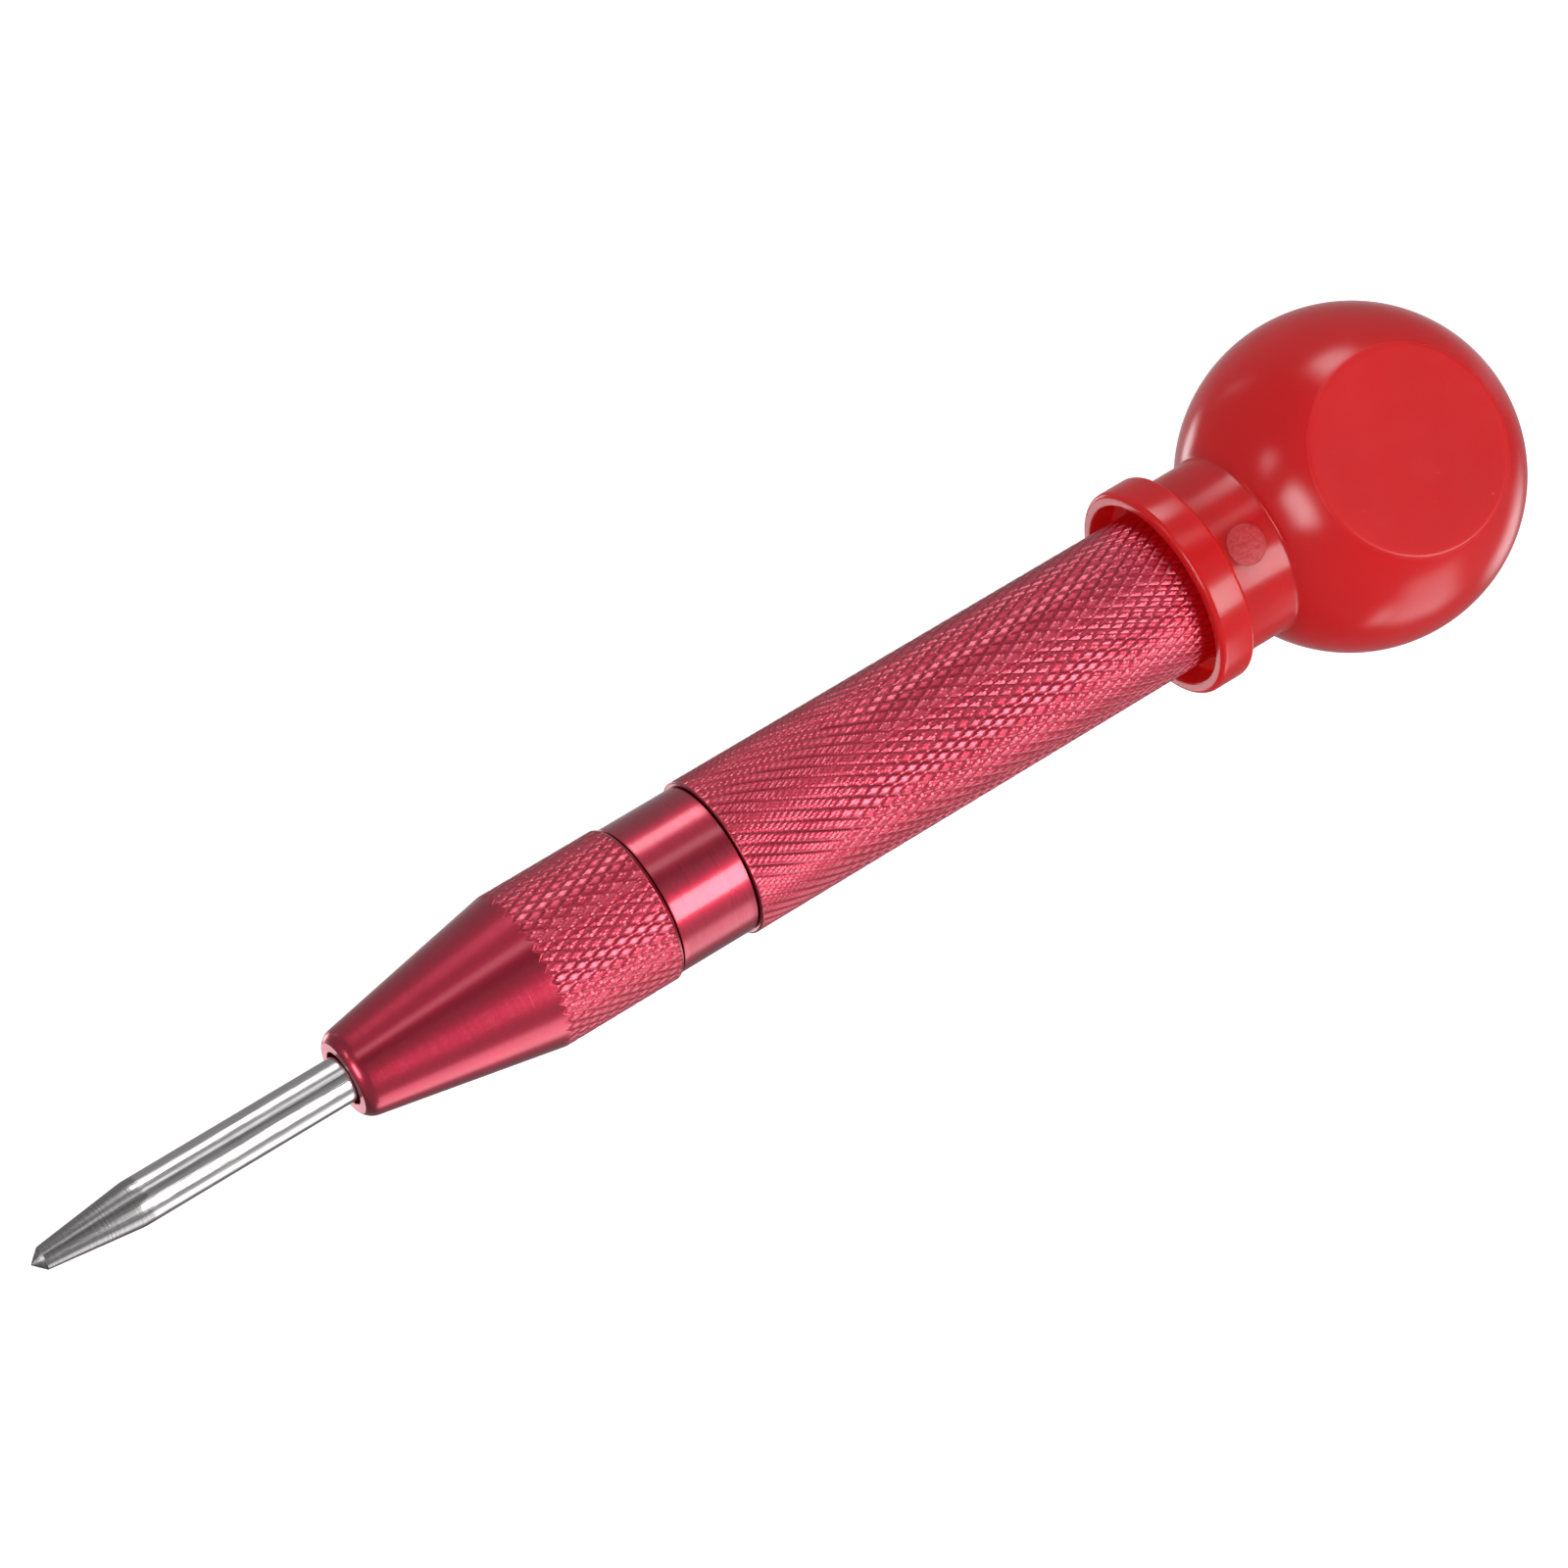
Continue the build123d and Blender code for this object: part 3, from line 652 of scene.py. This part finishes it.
# witness mark of the moulding: a low rough disc on the neck
s = Shape()
NM = 48
MZ, MR, MH = 115.5, 1.8, 0.05
ta = np.arange(NM) * PI2 / NM
prev = None
for rr, hh in [(1.80, -0.12), (1.80, 0.02), (1.74, 0.05), (1.2, 0.055), (0.6, 0.05)]:
    ring = s.add(place(MZ + rr * np.cos(ta), NECK_R + hh, rr * np.sin(ta) / NECK_R))
    if prev is not None:
        s.quads(prev, ring)
    else:
        bottom = ring
    prev = ring
c = int(s.add(place([MZ], [NECK_R + 0.052], [0.0]))[0])
s.f += [[int(p), int(q), c] for p, q in zip(prev, np.roll(prev, -1))]
c = int(s.add(place([MZ], [NECK_R - 0.12], [0.0]))[0])
s.f += [[int(q), int(p), c] for p, q in zip(bottom, np.roll(bottom, -1))]
mark = s.make("mould_mark", M_MARK, 30)
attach(mark, "cap")


# ---------------------------------------------------------------------------
# 6 springs
# ---------------------------------------------------------------------------
def coil(name, r0, r1, z0, z1, wire, turns, dead=0.9, per=36, around=12):
    zA, zB = z0 + wire, z1 - wire
    flat = 2 * wire * 1.03
    n = int(turns * per)
    t = np.linspace(0, turns, n + 1)
    h = np.where(t < dead, flat * t, np.where(t > turns - dead, (zB - zA) - flat * (turns - t),
                 flat * dead + (zB - zA - 2 * flat * dead) * (t - dead) / (turns - 2 * dead)))
    k = np.ones(9) / 9
    h = np.convolve(np.pad(h, 4, mode="reflect", reflect_type="odd"), k, mode="valid")
    r = r0 + (r1 - r0) * t / turns
    C = place(zA + h, r, -(PI2 * t + math.pi / 2))
    T = np.gradient(C, axis=0)
    T /= np.linalg.norm(T, axis=1)[:, None]
    O = C - place(zA + h, 0 * r, 0 * r)
    O /= np.linalg.norm(O, axis=1)[:, None]
    B = np.cross(T, O)
    B /= np.linalg.norm(B, axis=1)[:, None]
    O = np.cross(B, T)
    q = np.arange(around) * PI2 / around
    w = wire * MM
    P = C[:, None] + w * (np.cos(q)[None, :, None] * O[:, None] + np.sin(q)[None, :, None] * B[:, None])
    s = Shape()
    idx = s.add(P.reshape(-1, 3)).reshape(n + 1, around)
    for i in range(n):
        s.quads(idx[i], idx[i + 1])
    for e in (0, n):
        c = int(s.add(C[e])[0])
        s.f += [[int(p), int(x), c] for p, x in zip(idx[e], np.roll(idx[e], -1))]
    return s.make(name, M_WIRE, 40)


ret = coil("return_spring_wire", 2.45, 3.2, 42.05, 53.70, 0.25, 6.5)
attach(ret, "barrel"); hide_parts("return_spring")
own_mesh(ret)
mainw = coil("main_spring_wire", 3.2, 3.2, 78.05, 118.95, 0.45, 20.0)
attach(mainw, "seat"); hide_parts("main_spring")
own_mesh(mainw)

for name in ("trip_rod", "hammer", "spring_seat"):
    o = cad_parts[name]
    o.data.materials.clear()
    o.data.materials.append(M_HARD)

# ---------------------------------------------------------------------------
# Floor, light, camera
# ---------------------------------------------------------------------------
N = Nodes("floor_white")
N.t.nodes.remove(N.b)
diff = N.t.nodes.new("ShaderNodeBsdfDiffuse")
grain = N.noise(40.0, 3.0, 0.5)
N.put(diff.inputs["Color"], N.mix(N.range(grain, 0.3, 0.7), (0.48, 0.48, 0.48), (0.50, 0.50, 0.50)))
emi = N.t.nodes.new("ShaderNodeEmission")
emi.inputs["Strength"].default_value = 0.86
add = N.t.nodes.new("ShaderNodeAddShader")
N.link(diff.outputs[0], add.inputs[0]); N.link(emi.outputs[0], add.inputs[1]); N.link(add.outputs[0], N.out.inputs[0])
me = bpy.data.meshes.new("floor")
me.from_pydata([(-4, -4, -0.0002), (4, -4, -0.0002), (4, 4, -0.0002), (-4, 4, -0.0002)], [], [(0, 1, 2, 3)])
me.materials.append(N.m)
floor = bpy.data.objects.new("floor", me)
sc.collection.objects.link(floor)
# the light that the table throws back is part of the soft light below, so rays from the tool pass through the plane
floor.visible_diffuse = False
floor.visible_glossy = False
floor.visible_transmission = False
floor.visible_shadow = False

w = bpy.data.worlds.new("studio")
sc.world = w
w.use_nodes = True
t = w.node_tree
t.nodes.clear()
wo = t.nodes.new("ShaderNodeOutputWorld")
bg = t.nodes.new("ShaderNodeBackground")
t.links.new(bg.outputs[0], wo.inputs[0])
geo = t.nodes.new("ShaderNodeTexCoord")
sp = t.nodes.new("ShaderNodeSeparateXYZ")
t.links.new(geo.outputs["Generated"], sp.inputs[0])
dx, dy, dz = sp.outputs


def wm(op, a, b=None, clamp=False):
    n = t.nodes.new("ShaderNodeMath")
    n.operation = op
    n.use_clamp = clamp
    for s_, v_ in zip(n.inputs, (a, b)):
        if isinstance(v_, bpy.types.NodeSocket):
            t.links.new(v_, s_)
        elif v_ is not None:
            s_.default_value = v_
    return n.outputs[0]


def wr(v, a, b, c, d):
    n = t.nodes.new("ShaderNodeMapRange")
    n.interpolation_type = "SMOOTHSTEP"
    t.links.new(v, n.inputs["Value"])
    for k, x in (("From Min", a), ("From Max", b), ("To Min", c), ("To Max", d)):
        n.inputs[k].default_value = x
    return n.outputs[0]


# angle about the tool's axis: 0 overhead, positive towards -Y; X says how far along the axis the light stands
omega = wm("MULTIPLY", wm("ARCTAN2", wm("MULTIPLY", dy, -1.0), dz), 180 / math.pi)

# (angle, half width, softness, X centre, X half width, X softness, radiance)
PANELS = [
    (-73.0, 9.0, 5.0, 0.27, 0.17, 0.12, 4.5),      # strip on the far side
    (-119.0, 9.0, 8.0, -0.14, 0.05, 0.05, 0.5),
    (-33.0, 5.5, 3.5, 0.10, 0.50, 0.15, 1.15),      # thin strip
    (101.0, 17.5, 6.0, 0.15, 0.22, 0.12, 1.7),    # card low on the near side
    (110.0, 8.0, 6.0, -0.13, 0.05, 0.05, 1.9),
    (138.0, 12.0, 9.0, 0.70, 0.11, 0.07, 1.8),
    (-157.0, 8.0, 5.0, -0.12, 0.08, 0.05, 3.4),
    (-2.0, 28.0, 10.0, -0.895, 0.05, 0.03, 7.8),   # beyond the point
    (-70.0, 8.0, 6.0, -0.80, 0.06, 0.04, 2.9),
    (173.0, 9.0, 6.0, -0.39, 0.15, 0.07, 1.7),     # bright ground below the point, on both sides of straight down
    (-175.0, 7.0, 6.0, -0.39, 0.15, 0.07, 1.7),
]
AMBIENT = [(-180, 0.55), (-162, 0.40), (-146, 0.30), (-130, 0.30), (-100, 0.36), (-50, 0.36), (-28, 0.38), (-20, 0.18), (-12, 0.17), (-2, 0.36),
           (60, 0.42), (75, 0.45), (110, 0.36), (125, 0.20), (143, 0.19), (158, 0.22), (170, 0.33), (180, 0.45)]
ramp = t.nodes.new("ShaderNodeValToRGB")
ramp.color_ramp.interpolation = "LINEAR"
els = ramp.color_ramp.elements
while len(els) > 1:
    els.remove(els[-1])
for k, (deg, val) in enumerate(AMBIENT):
    e = els[0] if k == 0 else els.new((deg + 180) / 360)
    e.position = (deg + 180) / 360
    e.color = (val, val, val, 1)
n01 = wm("ADD", wm("MULTIPLY", omega, 1 / 360), 0.5)
t.links.new(n01, ramp.inputs[0])
# the surroundings fall off towards both ends of the tool
ends = wm("ADD", wr(dx, -0.20, 0.20, 0.52, 0.70), wr(dx, 0.60, 0.95, 0.30, 0.0))
total = wm("MULTIPLY", ramp.outputs[0], ends)
for (c, hw, so, xc, xw, xs, e) in PANELS:
    pa = wr(wm("ABSOLUTE", wm("SUBTRACT", omega, c)), hw + so, hw - so, 0.0, 1.0)
    pb = wr(wm("ABSOLUTE", wm("SUBTRACT", dx, xc)), xw + xs, xw - xs, 0.0, e)
    total = wm("ADD", total, wm("MULTIPLY", pa, pb))
lp = t.nodes.new("ShaderNodeLightPath")
tint = t.nodes.new("ShaderNodeVectorMath")
tint.operation = "SCALE"
tint.inputs[0].default_value = (1.0, 0.982, 1.025)
t.links.new(total, tint.inputs["Scale"])
mx = t.nodes.new("ShaderNodeMix")
mx.data_type = "RGBA"
t.links.new(lp.outputs["Is Camera Ray"], mx.inputs[0])
t.links.new(tint.outputs[0], mx.inputs[6])
mx.inputs[7].default_value = (1, 1, 1, 1)
t.links.new(mx.outputs[2], bg.inputs["Color"])
bg.inputs["Strength"].default_value = 1.0
w.cycles.sampling_method = "MANUAL"
w.cycles.sample_map_resolution = 1024

# the main softbox, above the near side and behind the grip
ld = bpy.data.lights.new("softbox", "AREA")
ld.shape = "RECTANGLE"
ld.size, ld.size_y = 0.66, 0.58
ld.color = (1.0, 0.985, 1.015)
ld.energy = 5.8 * math.pi * ld.size * ld.size_y
lo_ = bpy.data.objects.new("softbox", ld)
sc.collection.objects.link(lo_)
d = Vector((0.309, -0.545, 0.779)).normalized()
along = (Vector((1, 0, 0)) - d * d.x).normalized()
up = d.cross(along)
lo_.matrix_world = Matrix.Translation(d * 1.2) @ Matrix((along, up, d)).transposed().to_4x4()
lo_.visible_camera = False

cam = bpy.data.cameras.new("camera")
co = bpy.data.objects.new("camera", cam)
sc.collection.objects.link(co)
cam.sensor_width = 36.0
cam.lens = 118.14
cam.clip_start, cam.clip_end = 0.01, 20.0
M = Matrix(((0.809201, 0.48149873, -0.33667895, -0.14132351),
            (-0.4982445, 0.86606318, 0.04107287, 0.01939447),
            (0.31136178, 0.13451223, 0.94072329, 0.40610083),
            (0, 0, 0, 1)))
co.matrix_world = M
sc.camera = co
